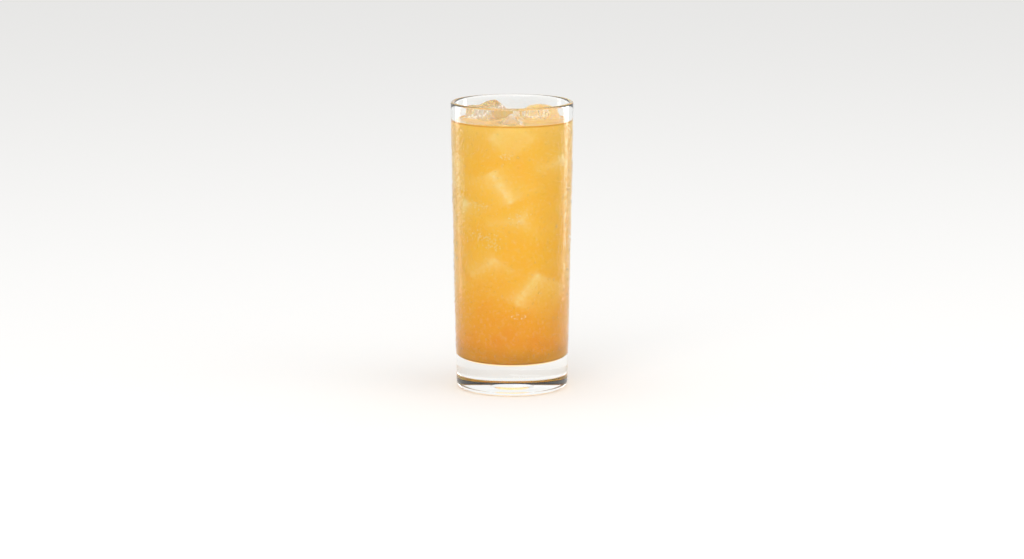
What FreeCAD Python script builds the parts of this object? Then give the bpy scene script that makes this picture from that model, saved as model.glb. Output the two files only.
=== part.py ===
"""A tall, heavy-based glass of cloudy citrus drink, with three ice cubes standing out of its surface.

Millimetres, +Z up. The origin is on the glass's axis, in the plane that its foot rests on.
The side that the drink is served to is -Y.
"""
import FreeCAD, Part
import os
import Sketcher
from FreeCAD import Vector

DIMENSIONS = {
    # The glass: a straight tapered wall on a thick solid base.
    "height": 150.0,
    "rim_radius": 31.75,  # outer wall, carried up to the full height
    "foot_radius": 29.0,  # outer wall, carried down to the table
    "rim_wall": 2.3,
    "base_wall": 3.0,  # wall just above the inner floor
    "floor_height": 14.5,
    "floor_corner": 13.0,
    "heel_round": 3.2,
    # The underside: a shallow push-up, with the round recess that the press's plunger leaves.
    "punt_radius": 19.0,
    "punt_height": 1.5,
    "recess_radius": 7.0,
    "recess_depth": 0.6,
    # The drink: how far its surface lies below the rim, and how it creeps up the wall.
    "headspace": 10.3,
    "meniscus_rise": 1.1,
    "meniscus_run": 2.2,
    # The ice: tray cubes, drafted to leave their mould, with room round each of them.
    "tray_draft": 2.5,
    "wall_gap": 0.4,
    "ice_gap": 0.4,
    # Each cube: its edge, the radius that its edges have melted to, and how far its crowned top falls
    # from the middle to its corners, then the place of its middle, with lift over the drink's surface,
    # and how it is turned.
    "left_edge": 20.5,
    "left_round": 1.6,
    "left_crown": 2.0,
    "left_across": -12.4,
    "left_back": 4.4,
    "left_lift": -3.3,
    "left_yaw": -35.5,
    "left_pitch": -14.0,
    "left_roll": -41.0,
    "right_edge": 21.0,
    "right_round": 5.0,
    "right_crown": 8.4,
    "right_across": 14.8,
    "right_back": 7.0,
    "right_lift": -2.7,
    "right_yaw": 12.0,
    "right_pitch": 3.0,
    "right_roll": 5.0,
    "front_edge": 15.5,
    "front_round": 2.2,
    "front_crown": 1.7,
    "front_across": -0.8,
    "front_back": -18.0,
    "front_lift": -4.7,
    "front_yaw": 0.0,
    "front_pitch": -43.0,
    "front_roll": 6.0,
}

CROWN_REACH = "3 / 4"  # of a cube's edge: just past its corners, which lie 0.71 of it from the middle

# How Sketcher numbers the ends and the middle of an edge, and a sketch's own axes.
START, END, CENTRE = 1, 2, 3
X_AXIS, Y_AXIS = -1, -2
ORIGIN = (-1, 1)

doc = FreeCAD.newDocument("citrus_drink")


def make_sheet():
    """Writes every driving dimension into a cell with an alias."""
    table = doc.addObject("Spreadsheet::Sheet", "Dimensions")
    for row, (alias, value) in enumerate(DIMENSIONS.items(), start=1):
        table.set(f"A{row}", alias)
        table.set(f"B{row}", str(value))
        table.setAlias(f"B{row}", alias)
    doc.recompute()
    return table


sheet = make_sheet()


def cell(alias):
    """How an expression names a dimension."""
    return f"Dimensions.{alias}"


def value_of(expression):
    """The number that an expression on the sheet's cells comes to."""
    return float(sheet.evalExpression(expression))


def outer_radius_at(height):
    """Expression for the outer wall's radius at a height, along its straight taper."""
    taper = f"({cell('rim_radius')} - {cell('foot_radius')}) / {cell('height')}"
    return f"({cell('foot_radius')} + {taper} * ({height}))"


def inner_radius_at(height):
    """Expression for the inner wall's radius at a height, from the wall's two thicknesses."""
    bottom = f"({outer_radius_at(cell('floor_height'))} - {cell('base_wall')})"
    top = f"({cell('rim_radius')} - {cell('rim_wall')})"
    share = f"(({height}) - {cell('floor_height')}) / ({cell('height')} - {cell('floor_height')})"
    return f"({bottom} + ({top} - {bottom}) * {share})"


def new_sketch(body, name, role):
    """A sketch on one of a body's own origin planes."""
    sketch = body.newObject("Sketcher::SketchObject", name)
    plane = next(feature for feature in body.Origin.OriginFeatures if feature.Role == role)
    sketch.AttachmentSupport = [(plane, "")]
    sketch.MapMode = "FlatFace"
    return sketch


def hold_point(sketch, edge, end, name, across, up):
    """Binds one end of a sketch edge to its distances from the sketch's two axes, "0" being on the axis."""
    distances = (("x", "DistanceX", across, Y_AXIS), ("y", "DistanceY", up, X_AXIS))
    for axis, kind, expression, on_axis in distances:
        if expression == "0":
            sketch.addConstraint(Sketcher.Constraint("PointOnObject", edge, end, on_axis))
            continue
        held = Sketcher.Constraint(kind, *ORIGIN, edge, end, value_of(expression))
        index = sketch.addConstraint(held)
        sketch.renameConstraint(index, f"{name}_{axis}")
        sketch.setExpression(f"Constraints.{name}_{axis}", expression)


def arc_centre(start, end, rule):
    """The middle of an arc between two points: between them, on the axis, or straight above the first."""
    if rule == "between":
        return (start + end) / 2
    across = start.x if rule == "above_start" else 0.0
    half_chord = (start + end) / 2
    chord = end - start
    up = half_chord.y + (half_chord.x - across) * chord.x / chord.y
    return Vector(across, up, 0)


def draw_arc(sketch, start, end, rule, turns_left):
    """Draws an arc from start to end, and returns its edge with the numbers of its two ends in that order."""
    centre = arc_centre(start, end, rule)
    circle = Part.Circle(centre, Vector(0, 0, 1), (start - centre).Length)
    first, last = (start, end) if turns_left else (end, start)
    arc = Part.ArcOfCircle(circle, circle.parameter(first), circle.parameter(last))
    edge = sketch.addGeometry(arc, False)
    from_end, to_end = (START, END) if turns_left else (END, START)
    if rule == "between":
        sketch.addConstraint(Sketcher.Constraint("Symmetric", edge, from_end, edge, to_end, edge, CENTRE))
    elif rule == "on_axis":
        sketch.addConstraint(Sketcher.Constraint("PointOnObject", edge, CENTRE, Y_AXIS))
    else:
        sketch.addConstraint(Sketcher.Constraint("Vertical", edge, CENTRE, edge, from_end))
    return edge, from_end, to_end


def draw_profile(sketch, corners, arcs):
    """A closed outline through named corners, each held by two expressions.

    arcs maps the number of a side to the rule for its centre and whether it turns left.
    """
    points = [Vector(value_of(across), value_of(up), 0) for _, across, up in corners]
    sides = []
    for side, (start, end) in enumerate(zip(points, points[1:] + points[:1])):
        if side in arcs:
            sides.append(draw_arc(sketch, start, end, *arcs[side]))
        else:
            sides.append((sketch.addGeometry(Part.LineSegment(start, end), False), START, END))
    for side, (name, across, up) in enumerate(corners):
        edge, start_end, _ = sides[side]
        before, _, before_end = sides[side - 1]
        sketch.addConstraint(Sketcher.Constraint("Coincident", before, before_end, edge, start_end))
        hold_point(sketch, edge, start_end, name, across, up)


def turn(body, kind, name, corners, arcs):
    """Turns a profile once round the body's vertical axis, to add or to cut."""
    sketch = new_sketch(body, f"{name}_section", "XZ_Plane")
    draw_profile(sketch, corners, arcs)
    turned = body.newObject(kind, name)
    turned.Profile = sketch
    turned.ReferenceAxis = (sketch, ["V_Axis"])
    turned.Angle = 360.0
    doc.recompute()
    return turned


def ring_at(shape, radius, height):
    """The name of the round edge with this radius at this height."""
    near = 0.01
    for number, edge in enumerate(shape.Edges, start=1):
        box = edge.BoundBox
        if abs(box.ZMin - height) < near and box.ZLength < near and abs(box.XMax - radius) < near:
            return f"Edge{number}"
    raise ValueError(f"no ring of radius {radius} at height {height}")


def fillet(body, base, names, radius, name):
    """Rounds the named edges of a feature with a radius given as an expression."""
    rounded = body.newObject("PartDesign::Fillet", name)
    rounded.Base = (base, names)
    rounded.Radius = value_of(radius)
    rounded.setExpression("Radius", radius)
    doc.recompute()
    return rounded


def round_floor_corner(body, base):
    """The wide inner round between wall and floor, alike on the glass and on the drink that fills it."""
    floor = cell("floor_height")
    ring = ring_at(base.Shape, value_of(inner_radius_at(floor)), value_of(floor))
    return fillet(body, base, [ring], cell("floor_corner"), f"{body.Name}_floor_corner")


def make_glass():
    """The glass: one turned section with a full round rim, then its heel and inner corner rounded."""
    body = doc.addObject("PartDesign::Body", "tumbler")
    floor = cell("floor_height")
    wall_top = f"({cell('height')} - {cell('rim_wall')} / 2)"
    recess_roof = f"{cell('punt_height')} + {cell('recess_depth')}"
    corners = [
        ("recess_middle", "0", recess_roof),
        ("recess_edge", cell("recess_radius"), recess_roof),
        ("punt_start", cell("recess_radius"), cell("punt_height")),
        ("foot_inner", cell("punt_radius"), "0"),
        ("foot_outer", cell("foot_radius"), "0"),
        ("rim_outer", outer_radius_at(wall_top), wall_top),
        ("rim_inner", inner_radius_at(wall_top), wall_top),
        ("floor_outer", inner_radius_at(floor), floor),
        ("floor_middle", "0", floor),
    ]
    arcs = {2: ("on_axis", False), 5: ("between", True)}
    turned = turn(body, "PartDesign::Revolution", "tumbler_turned", corners, arcs)
    heel = ring_at(turned.Shape, value_of(cell("foot_radius")), 0.0)
    heeled = fillet(body, turned, [heel], cell("heel_round"), "heel")
    round_floor_corner(body, heeled)
    body.Label = "glass"
    return body


def make_drink_fill():
    """The drink as poured: the whole inside up to its surface, which curves up where it meets the wall."""
    body = doc.addObject("PartDesign::Body", "drink_fill")
    floor = cell("floor_height")
    surface = f"({cell('height')} - {cell('headspace')})"
    edge = f"({surface} + {cell('meniscus_rise')})"
    corners = [
        ("surface_middle", "0", surface),
        ("meniscus_foot", f"{inner_radius_at(edge)} - {cell('meniscus_run')}", surface),
        ("meniscus_edge", inner_radius_at(edge), edge),
        ("floor_outer", inner_radius_at(floor), floor),
        ("floor_middle", "0", floor),
    ]
    turned = turn(body, "PartDesign::Revolution", "drink_turned", corners, {1: ("above_start", True)})
    round_floor_corner(body, turned)
    return body


def make_ice_room():
    """The room that ice can float in: inside the wall by the clearance, and open above the rim."""
    body = doc.addObject("PartDesign::Body", "ice_room")
    bottom = f"({cell('floor_height')} + {cell('wall_gap')})"
    top = f"({cell('height')} + {cell('left_edge')})"
    corners = [
        ("bottom_middle", "0", bottom),
        ("bottom_wall", f"{inner_radius_at(bottom)} - {cell('wall_gap')}", bottom),
        ("top_wall", f"{inner_radius_at(top)} - {cell('wall_gap')}", top),
        ("top_middle", "0", top),
    ]
    turn(body, "PartDesign::Revolution", "room_turned", corners, {})
    return body


def draw_square(sketch, width):
    """A square about the sketch's origin, its width given as an expression."""
    half = value_of(width) / 2
    corners = [Vector(-half, -half, 0), Vector(half, -half, 0), Vector(half, half, 0), Vector(-half, half, 0)]
    for side, (start, end) in enumerate(zip(corners, corners[1:] + corners[:1])):
        sketch.addGeometry(Part.LineSegment(start, end), False)
        sketch.addConstraint(Sketcher.Constraint("Vertical" if side % 2 else "Horizontal", side))
    for side in range(4):
        sketch.addConstraint(Sketcher.Constraint("Coincident", side, END, (side + 1) % 4, START))
    sketch.addConstraint(Sketcher.Constraint("Symmetric", 0, START, 1, END, *ORIGIN))
    for side, name in ((0, "width"), (1, "depth")):
        index = sketch.addConstraint(Sketcher.Constraint("Distance", side, value_of(width)))
        sketch.renameConstraint(index, name)
        sketch.setExpression(f"Constraints.{name}", width)


def crown_top(body, name, top, reach, fall):
    """Cuts a block's flat top to a shallow dome that falls from its middle, where the top was.

    top, reach and fall are expressions: reach is how far out it has fallen by that much.
    """
    corners = [
        ("crown_middle", "0", top),
        ("crown_edge", reach, f"{top} - {fall}"),
        ("crown_over", reach, top),
    ]
    return turn(body, "PartDesign::Groove", f"{name}_crown", corners, {0: ("on_axis", False)})


def make_block(name, kind, margin="0"):
    """One tray cube about its own middle: drafted, crowned on top, melted round, placed and turned.

    kind picks its cells, and margin makes it larger on every side, to keep its neighbours clear.
    """
    body = doc.addObject("PartDesign::Body", name)
    edge = f"({cell(f'{kind}_edge')} + 2 * {margin})"
    square = new_sketch(body, f"{name}_top", "XY_Plane")
    square.setExpression("AttachmentOffset.Base.z", f"{edge} / 2")
    draw_square(square, edge)
    pad = body.newObject("PartDesign::Pad", f"{name}_pad")
    pad.Profile = square
    pad.Reversed = True
    pad.setExpression("Length", edge)
    pad.setExpression("TaperAngle", f"-{cell('tray_draft')}")
    doc.recompute()
    crown = crown_top(body, name, f"({edge} / 2)", f"({edge} * {CROWN_REACH})", cell(f"{kind}_crown"))
    every_edge = [f"Edge{number}" for number in range(1, len(crown.Shape.Edges) + 1)]
    fillet(body, crown, every_edge, f"({cell(f'{kind}_round')} + {margin})", f"{name}_melted")
    surface = f"{cell('height')} - {cell('headspace')}"
    body.setExpression("Placement.Base.x", cell(f"{kind}_across"))
    body.setExpression("Placement.Base.y", cell(f"{kind}_back"))
    body.setExpression("Placement.Base.z", f"{surface} + {cell(f'{kind}_lift')}")
    for angle in ("Yaw", "Pitch", "Roll"):
        body.setExpression(f"Placement.Rotation.{angle}", cell(f"{kind}_{angle.lower()}"))
        doc.recompute()
    return body


def combine(operation, name, base, tool):
    """A boolean of two objects."""
    joined = doc.addObject(operation, name)
    joined.Base = base
    joined.Tool = tool
    doc.recompute()
    return joined


def make_cube(kind, room, neighbours):
    """A cube as it floats: kept off the wall, and melted back where it would meet an earlier cube."""
    block = make_block(f"{kind}_block", kind)
    cube = combine("Part::Common", f"{kind}_in_room", block, room)
    for neighbour in neighbours:
        kept_clear = make_block(f"{neighbour}_clear_of_{kind}", neighbour, cell("ice_gap"))
        cube = combine("Part::Cut", f"{kind}_beside_{neighbour}", cube, kept_clear)
    cube.Label = f"ice_cube_{kind}"
    return cube


def make_drink(fill, cubes):
    """The drink round its ice, face to face with each cube."""
    drink = fill
    for cube in cubes:
        drink = combine("Part::Cut", f"{drink.Name}_round_{cube.Name}", drink, cube)
    drink.Label = "drink"
    return drink


def check_document():
    """Stops if any object of the document failed to build."""
    for thing in doc.Objects:
        if "Invalid" in thing.State or "Error" in thing.State:
            raise RuntimeError(f"{thing.Name} failed: {thing.State}")


def export(pieces):
    """Checks each piece's shape, and writes it to a file named after its label."""
    for piece in pieces:
        if piece.Shape.isNull() or not piece.Shape.isValid() or len(piece.Shape.Solids) != 1:
            raise RuntimeError(f"{piece.Label} is not one valid solid")
    os.makedirs("parts", exist_ok=True)
    for piece in pieces:
        piece.Shape.exportStep(os.path.join("parts", f"{piece.Label}.step"))


glass = make_glass()
ice_room = make_ice_room()
cubes = [make_cube("left", ice_room, []), make_cube("right", ice_room, ["left"])]
cubes.append(make_cube("front", ice_room, ["left", "right"]))
drink = make_drink(make_drink_fill(), cubes)
doc.recompute()
check_document()
export([glass, drink, *cubes])
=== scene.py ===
"""The looks of a tall glass of cloudy citrus drink with ice, fitted to its CAD frame. Metres, +Z up."""
import math

import bpy
import numpy as np
from mathutils import Euler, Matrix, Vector


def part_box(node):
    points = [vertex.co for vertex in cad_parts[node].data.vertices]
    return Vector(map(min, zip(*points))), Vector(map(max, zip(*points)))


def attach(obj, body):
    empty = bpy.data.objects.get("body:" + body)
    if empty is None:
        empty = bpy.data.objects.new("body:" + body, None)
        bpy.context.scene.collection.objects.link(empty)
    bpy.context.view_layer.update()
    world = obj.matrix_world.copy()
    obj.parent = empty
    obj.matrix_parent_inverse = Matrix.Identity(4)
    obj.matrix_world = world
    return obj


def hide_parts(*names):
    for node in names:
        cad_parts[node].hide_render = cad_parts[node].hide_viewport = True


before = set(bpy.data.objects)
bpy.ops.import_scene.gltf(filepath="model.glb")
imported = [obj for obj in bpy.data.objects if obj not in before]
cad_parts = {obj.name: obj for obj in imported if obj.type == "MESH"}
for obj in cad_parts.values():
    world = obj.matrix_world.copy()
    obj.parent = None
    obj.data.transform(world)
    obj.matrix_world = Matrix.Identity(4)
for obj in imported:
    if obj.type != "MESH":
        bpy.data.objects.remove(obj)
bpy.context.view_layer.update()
MM = 0.001
glass_low, glass_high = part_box("glass")
HEIGHT = glass_high.z
RIM_RADIUS = (glass_high.x - glass_low.x) / 2


# ---------------------------------------------------------------------------------------------
# The stage: a pale seamless floor, a soft sky, soft boxes overhead, in front and on the right, a strip
# light close by on each side that shows in the glass, and the camera at the height of a seated person.
FLOOR_RADIUS, FLOOR_SIDES = 9.0, 96
FLOOR_COLOUR = (0.81, 0.805, 0.795, 1.0)
FLOOR_ROUGHNESS = 0.9
SKY_COLOUR = (0.95, 0.95, 0.95, 1.0)
SKY_LIGHT = 0.95  # of the sky, as it falls on matt surfaces
WHITE = (1.0, 1.0, 1.0, 1.0)
STRIP_DISTANCE = 0.22
STRIP_BEARING = math.radians(120)  # from the camera's side of the glass
STRIP_SIZE = (0.05, 0.20)
STRIP_LIFT = 2 * MM  # over the floor
STRIP_FADE = (0.5, 1.5)  # its strength at its foot and at its top
STRIPS = {"strip_left": (-1, 0.055), "strip_right": (1, 0.10)}  # side, watts
BOXES = {
    # middle, width and height, watts
    "top_box": ((0, -0.35, 1.5), (1.4, 1.4), 5.0),
    "front_box": ((-0.5, -1.4, 1.0), (1.2, 1.2), 7.6),
    "side_box": ((1.35, -0.55, 0.9), (1.2, 1.2), 3.4),
}
CAMERA_DISTANCE = 1.6
CAMERA_OVER_RIM = 0.1998
CAMERA_PITCH = math.radians(10.39)
CAMERA_LENS, CAMERA_SENSOR = 109.7, 36.0  # mm


def link(thing):
    """Puts a new object into the scene."""
    bpy.context.scene.collection.objects.link(thing)
    return thing


def mesh_object(name, points, faces, smooth=True):
    """A mesh from an array of points and a list or array of faces."""
    mesh = bpy.data.meshes.new(name)
    mesh.from_pydata(points, [], faces.tolist() if isinstance(faces, np.ndarray) else faces)
    mesh.update()
    if smooth:
        mesh.shade_smooth()
    return link(bpy.data.objects.new(name, mesh))


def plain_nodes(name):
    """A material with its Principled shader and its output, ready to be linked to."""
    material = bpy.data.materials.new(name)
    material.use_nodes = True
    nodes = material.node_tree.nodes
    return material, nodes, material.node_tree.links, nodes["Principled BSDF"], nodes["Material Output"]


def give(node, values):
    """Sets a node's own inputs, by their names."""
    for name, value in values.items():
        node.inputs[name].default_value = value


def calculate(nodes, links, operation, first, second):
    """The sum, product or larger of two values."""
    node = nodes.new("ShaderNodeMath")
    node.operation = operation
    links.new(first, node.inputs[0])
    links.new(second, node.inputs[1])
    return node.outputs[0]


def range_of(nodes, links, value, low, high, to_low=0.0, to_high=1.0):
    """A value brought from one range to another, and kept inside it."""
    node = nodes.new("ShaderNodeMapRange")
    links.new(value, node.inputs["Value"])
    give(node, {"From Min": low, "From Max": high, "To Min": to_low, "To Max": to_high})
    return node.outputs["Result"]


def make_floor():
    """A flat round floor, one face: R (cos a, sin a, 0) for turns a evenly round the circle."""
    turn = np.linspace(0, 2 * math.pi, FLOOR_SIDES + 1)[:-1]
    rim = FLOOR_RADIUS * np.stack([np.cos(turn), np.sin(turn), 0 * turn], 1)
    floor = mesh_object("floor", rim, [list(range(FLOOR_SIDES))], smooth=False)
    material, _, _, shader, _ = plain_nodes("pale_floor")
    give(shader, {"Base Color": FLOOR_COLOUR, "Roughness": FLOOR_ROUGHNESS, "Specular IOR Level": 0.0})
    floor.data.materials.append(material)


def make_sky():
    """A plain pale sky to look at, and a white one as light on matt surfaces."""
    world = bpy.data.worlds.new("sky")
    bpy.context.scene.world = world
    world.use_nodes = True
    nodes, links = world.node_tree.nodes, world.node_tree.links
    nodes.clear()
    path = nodes.new("ShaderNodeLightPath")
    seen = calculate(nodes, links, "MAXIMUM", path.outputs["Is Camera Ray"], path.outputs["Is Glossy Ray"])
    seen = calculate(nodes, links, "MAXIMUM", seen, path.outputs["Is Transmission Ray"])
    light, shown = nodes.new("ShaderNodeBackground"), nodes.new("ShaderNodeBackground")
    give(light, {"Color": WHITE, "Strength": SKY_LIGHT})
    give(shown, {"Color": SKY_COLOUR})
    mix, output = nodes.new("ShaderNodeMixShader"), nodes.new("ShaderNodeOutputWorld")
    links.new(seen, mix.inputs["Fac"])
    links.new(light.outputs[0], mix.inputs[1])
    links.new(shown.outputs[0], mix.inputs[2])
    links.new(mix.outputs[0], output.inputs["Surface"])


def make_lamp(name, place, size, power):
    """A rectangular lamp that faces the middle of the glass, and isn't seen itself."""
    lamp = bpy.data.lights.new(name, "AREA")
    lamp.shape = "RECTANGLE"
    lamp.size, lamp.size_y = size
    lamp.energy = power
    holder = link(bpy.data.objects.new(name, lamp))
    holder.location = place
    aim = Vector((0, 0, HEIGHT / 2)) - Vector(place)
    holder.rotation_euler = aim.to_track_quat("-Z", "Y").to_euler()
    holder.visible_camera = False
    return holder


def make_strip(name, side, power):
    """A strip light that only shows in the glass, dimmer towards its foot, as one is away from its tube."""
    across = side * STRIP_DISTANCE * math.sin(STRIP_BEARING)
    back = -STRIP_DISTANCE * math.cos(STRIP_BEARING)
    strip = make_lamp(name, (across, back, STRIP_SIZE[1] / 2 + STRIP_LIFT), STRIP_SIZE, power)
    strip.visible_diffuse = False
    strip.data.use_nodes = True
    nodes, links = strip.data.node_tree.nodes, strip.data.node_tree.links
    place, parts = nodes.new("ShaderNodeNewGeometry"), nodes.new("ShaderNodeSeparateXYZ")
    links.new(place.outputs["Position"], parts.inputs["Vector"])
    fade = range_of(nodes, links, parts.outputs["Z"], 0.0, STRIP_SIZE[1], *STRIP_FADE)
    links.new(fade, nodes["Emission"].inputs["Strength"])


def make_camera():
    """A camera in front of the glass and over its rim, pitched down at it."""
    camera = bpy.data.cameras.new("camera")
    camera.sensor_width = CAMERA_SENSOR
    camera.lens = CAMERA_LENS
    holder = link(bpy.data.objects.new("camera", camera))
    holder.location = (0, -CAMERA_DISTANCE, HEIGHT + CAMERA_OVER_RIM)
    holder.rotation_euler = Euler((math.pi / 2 - CAMERA_PITCH, 0, 0))
    bpy.context.scene.camera = holder


bpy.context.scene.view_settings.view_transform = "Standard"
make_floor()
make_sky()
for name, (side, power) in STRIPS.items():
    make_strip(name, side, power)
for name, (place, size, power) in BOXES.items():
    make_lamp(name, place, size, power)
make_camera()


# ---------------------------------------------------------------------------------------------
# The glass: a pressed soda-lime tumbler with a straight tapered wall, a fire-polished rim, a thick
# solid base with a rounded heel, and a shallow push-up underneath with the round mark of the press.
FOOT_RADIUS = 29.0 * MM
TOP_RADIUS = 31.75 * MM  # of the outer wall's straight line, where it would meet the rim's height
RIM_WALL = 2.3 * MM
BASE_WALL = 3.0 * MM
FLOOR_HEIGHT = 14.5 * MM
FLOOR_CORNER = 13.0 * MM
HEEL_ROUND = 3.2 * MM
PUNT_RADIUS, PUNT_HEIGHT = 19.0 * MM, 1.5 * MM
PUNT_EDGE = 0.5 * MM  # between the push-up and the ring that the glass stands on
RECESS_RADIUS, RECESS_DEPTH = 7.0 * MM, 0.6 * MM
RECESS_FLAT = 0.96  # of its radius, before its rounded edge
TURNS = 256  # steps round the glass
GLASS_TINT = (0.985, 1.0, 0.995, 1.0)
GLASS_IOR = 1.5
WALL_WAVES = (60.0, 0.02 * MM)  # scale, depth
MIST_SKIN = 0.1 * MM  # how near the outer wall a point counts as on it
MIST_BY_TURN = (0, 35, 60, 110, 180), (0.25, 0.4, 1.0, 1.0, 0.7)  # degrees from the front, amount
MIST_BY_HEIGHT = (18 * MM, 26 * MM, 137 * MM, 141 * MM), (0, 1, 1, 0)
MIST_SPACING = 1.3 * MM
MIST_DOME = (0.12, 0.55)  # of the spacing, from a bead's middle: where its top ends, and its edge
MIST_DEPTH = 0.12 * MM


def outer_radius(height):
    """The outer wall's radius: a straight line from the foot's to the rim's."""
    return FOOT_RADIUS + (TOP_RADIUS - FOOT_RADIUS) * height / HEIGHT


def inner_radius(height):
    """The inner wall's radius: a straight line from the floor's to the rim's."""
    low = outer_radius(FLOOR_HEIGHT) - BASE_WALL
    high = outer_radius(HEIGHT) - RIM_WALL
    return low + (high - low) * (height - FLOOR_HEIGHT) / (HEIGHT - FLOOR_HEIGHT)


def arc(middle, radius, start, end, steps):
    """Points on a circle from one angle to another, in degrees from +r towards +z."""
    angle = np.radians(np.linspace(start, end, steps))
    return np.stack([middle[0] + radius * np.cos(angle), middle[1] + radius * np.sin(angle)], 1)


def line(start, end, steps):
    """Points along a straight line, both ends included."""
    return np.linspace(start, end, steps)


def floor_corner_profile(outset, steps):
    """The inner corner from the floor to the wall: an arc tangent to both, moved out by outset."""
    radius = inner_radius(FLOOR_HEIGHT + FLOOR_CORNER)
    return arc((radius - FLOOR_CORNER, FLOOR_HEIGHT + FLOOR_CORNER), FLOOR_CORNER + outset, -90, 0, steps)


def revolve(profile, turns):
    """A profile of (radius, height) turned about the Z axis; its ends on the axis become one pole each.

    Point (i, j) is (r_i cos a_j, r_i sin a_j, z_i) with a_j evenly spaced round the circle.
    """
    angle = np.arange(turns) * 2 * math.pi / turns
    ring = np.stack([np.cos(angle), np.sin(angle)], 1)
    body = profile[1:-1]
    flat = body[:, None, :1] * ring[None]
    up = np.broadcast_to(body[:, 1][:, None, None], (len(body), turns, 1))
    points = np.concatenate([flat, up], 2).reshape(-1, 3)
    step = np.arange(turns)
    after = (step + 1) % turns
    row = np.arange(len(body) - 1)[:, None] * turns
    quads = np.stack([row + step, row + after, row + turns + after, row + turns + step], 2).reshape(-1, 4)
    start_pole, end_pole = len(points), len(points) + 1
    points = np.concatenate([points, [[0, 0, profile[0][1]], [0, 0, profile[-1][1]]]])
    top_row = (len(body) - 1) * turns
    start_fan = np.stack([np.full(turns, start_pole), after, step], 1)
    end_fan = np.stack([np.full(turns, end_pole), top_row + step, top_row + after], 1)
    return points, quads.tolist() + start_fan.tolist() + end_fan.tolist()


def glass_profile():
    """The section from the middle of the underside, out and up over the rim, and down to the inner floor.

    The push-up is an arc about (0, c) through (p, 0) and (q, h), so c = (q^2 + h^2 - p^2) / 2h, where p
    is its radius, q the recess's and h its height.
    """
    roof = PUNT_HEIGHT + RECESS_DEPTH
    recess_flat = RECESS_FLAT * RECESS_RADIUS
    centre = (RECESS_RADIUS**2 + PUNT_HEIGHT**2 - PUNT_RADIUS**2) / (2 * PUNT_HEIGHT)
    start = math.degrees(math.atan2(PUNT_HEIGHT - centre, RECESS_RADIUS))
    end = math.degrees(math.atan2(-centre, PUNT_RADIUS))
    rim_height = HEIGHT - RIM_WALL / 2
    outer, inner = outer_radius(rim_height), inner_radius(rim_height)
    heel = (outer_radius(HEEL_ROUND) - HEEL_ROUND, HEEL_ROUND)
    inside = floor_corner_profile(0.0, 16)[::-1]
    return np.concatenate([
        line((0, roof), (recess_flat, roof), 8),
        arc((recess_flat, roof - RECESS_DEPTH / 2), RECESS_DEPTH / 2, 90, 0, 4)[1:],
        arc((0, centre), math.hypot(PUNT_RADIUS, centre), start, end, 16)[1:],
        line((PUNT_RADIUS + PUNT_EDGE, 0), (heel[0], 0), 6),
        arc(heel, HEEL_ROUND, -90, 0, 10)[1:],
        line((outer_radius(HEEL_ROUND), HEEL_ROUND), (outer, rim_height), 60)[1:],
        arc(((outer + inner) / 2, rim_height), (outer - inner) / 2, 0, 180, 14)[1:],
        line((inner, rim_height), tuple(inside[0]), 60)[1:],
        inside[1:],
        line(tuple(inside[-1]), (0, FLOOR_HEIGHT), 10)[1:],
    ])


def own_place(nodes):
    """Where a point lies on its piece, in the piece's own coordinates."""
    return nodes.new("ShaderNodeTexCoord").outputs["Object"]


def noise_at(nodes, links, place, scale, detail, roughness=0.5):
    """A noise pattern's value at a place: waves of that many to the metre, and finer ones on them."""
    noise = nodes.new("ShaderNodeTexNoise")
    give(noise, {"Scale": scale, "Detail": detail, "Roughness": roughness})
    links.new(place, noise.inputs["Vector"])
    return noise.outputs["Fac"]


def bump(nodes, links, shader, scale, depth, detail=2.0):
    """Relief from a noise pattern, depth in metres; the noise can tint the piece as well."""
    noise = noise_at(nodes, links, own_place(nodes), scale, detail)
    relief = nodes.new("ShaderNodeBump")
    give(relief, {"Distance": depth})
    links.new(noise, relief.inputs["Height"])
    links.new(relief.outputs["Normal"], shader.inputs["Normal"])
    return noise


def let_lamps_through(nodes, links, shader, output):
    """Clear things cast no shadow of their own: lamps reach what lies inside them."""
    path, clear = nodes.new("ShaderNodeLightPath"), nodes.new("ShaderNodeBsdfTransparent")
    mix = nodes.new("ShaderNodeMixShader")
    links.new(path.outputs["Is Shadow Ray"], mix.inputs["Fac"])
    links.new(shader.outputs["BSDF"], mix.inputs[1])
    links.new(clear.outputs["BSDF"], mix.inputs[2])
    links.new(mix.outputs["Shader"], output.inputs["Surface"])


def clear_material(name, tint, ior, roughness, relief_scale, relief_depth):
    """A clear dielectric with faint relief on its surface."""
    material, nodes, links, shader, output = plain_nodes(name)
    give(shader, {"Base Color": tint, "Transmission Weight": 1.0, "IOR": ior, "Roughness": roughness})
    bump(nodes, links, shader, relief_scale, relief_depth)
    let_lamps_through(nodes, links, shader, output)
    return material


def store(mesh, name, values):
    """Keeps one number for each point of a mesh, for its material to read."""
    mesh.attributes.new(name, "FLOAT", "POINT").data.foreach_set("value", values.astype(np.float32))


def read_attribute(nodes, name):
    """The number that a mesh keeps for each of its points under this name."""
    attribute = nodes.new("ShaderNodeAttribute")
    attribute.attribute_name = name
    return attribute.outputs["Fac"]


def mist_amount(points):
    """How misted the glass is: on the outer wall, one share by turn times another by height."""
    radius = np.hypot(points[:, 0], points[:, 1])
    outside = radius > outer_radius(points[:, 2]) - MIST_SKIN
    turn = np.abs(np.arctan2(points[:, 0], -points[:, 1]))
    by_turn = np.interp(np.degrees(turn), *MIST_BY_TURN)
    return outside * by_turn * np.interp(points[:, 2], *MIST_BY_HEIGHT)


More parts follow.
